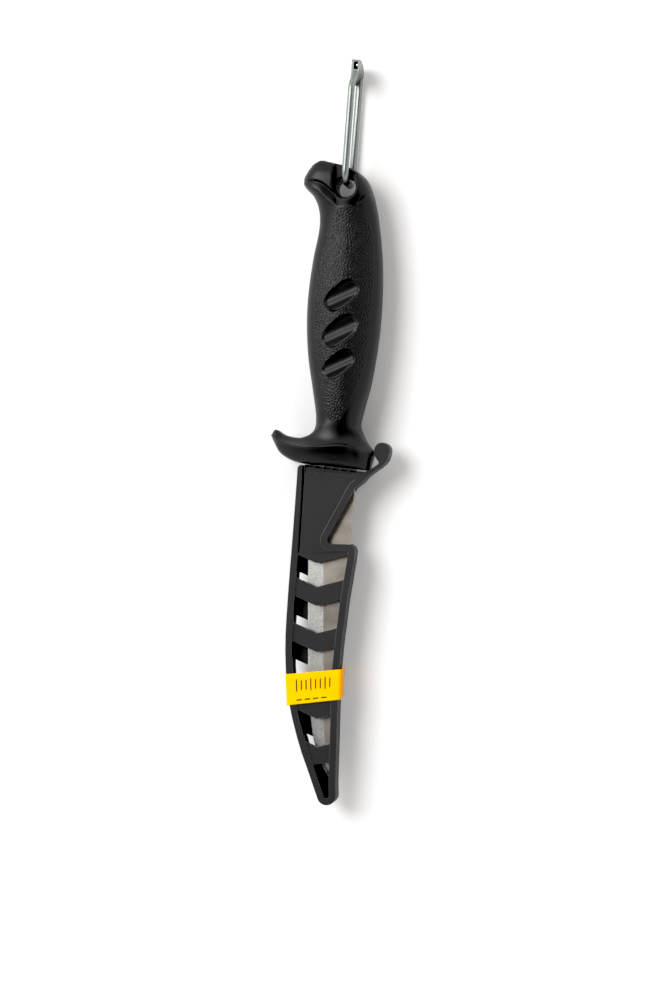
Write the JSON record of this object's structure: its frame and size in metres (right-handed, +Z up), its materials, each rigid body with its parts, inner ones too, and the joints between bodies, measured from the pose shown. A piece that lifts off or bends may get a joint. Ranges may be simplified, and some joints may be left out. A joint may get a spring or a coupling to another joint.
{
  "type": "rigging knife",
  "caption": "Fixed-blade sailor's rigging knife in a latticed moulded sheath with a thumb release arm, and a wire snap link through the pommel's lanyard hole.",
  "frame": {"origin": "centre of the bounding box's underside; the knife lies flat on its back", "axes": "+X across the blade towards the spine, +Y along the knife from the sheath's tip to the pommel, +Z up, out of the knife's front face"},
  "size_m": [0.0508, 0.3124, 0.024],
  "materials": {
    "blade_steel": "satin ground stainless steel",
    "handle_nylon": "satin black moulding with a leather-grained grip",
    "sheath_plastic": "fine matt dark grey moulding",
    "label_paper": "coated yellow paper",
    "zinc_wire": "zinc-plated wire",
    "bright_pin": "bright plated",
    "spring_steel": "oiled spring steel"
  },
  "bodies": {
    "sheath": {"sheath_body": "sheath_plastic", "wrap_label": "label_paper"},
    "arm": {"retention_arm": "sheath_plastic"},
    "knife": {"handle": "handle_nylon", "blade": "blade_steel"},
    "link": {"link_body": "zinc_wire", "nose_pin": "bright_pin", "gate_rivet": "bright_pin"},
    "gate": {"link_gate": "zinc_wire", "gate_spring": "spring_steel"}
  },
  "joints": [
    {"name": "knife_draw", "type": "slide", "parent": "sheath", "child": "knife", "axis": [0, 1, 0], "range_m": [0, 0.15]},
    {"name": "arm_flex", "type": "hinge", "parent": "sheath", "child": "arm", "pos_m": [0.0142, -0.02086, 0.012], "axis": [0, 0, -1], "range_deg": [0, 12], "stiffness_Nm_per_rad": 0.05},
    {"name": "link_swing", "type": "hinge", "parent": "knife", "child": "link", "pos_m": [0.0038, 0.10234, 0.012], "axis": [0, 0, -1], "range_deg": [-17.2, 11.8]},
    {"name": "gate_open", "type": "hinge", "parent": "link", "child": "gate", "pos_m": [0.0042, 0.11073, 0.002], "axis": [0.9989, -0.0471, 0], "range_deg": [0, 14], "stiffness_Nm_per_rad": 0.02, "springref_deg": -17.19}
  ]
}
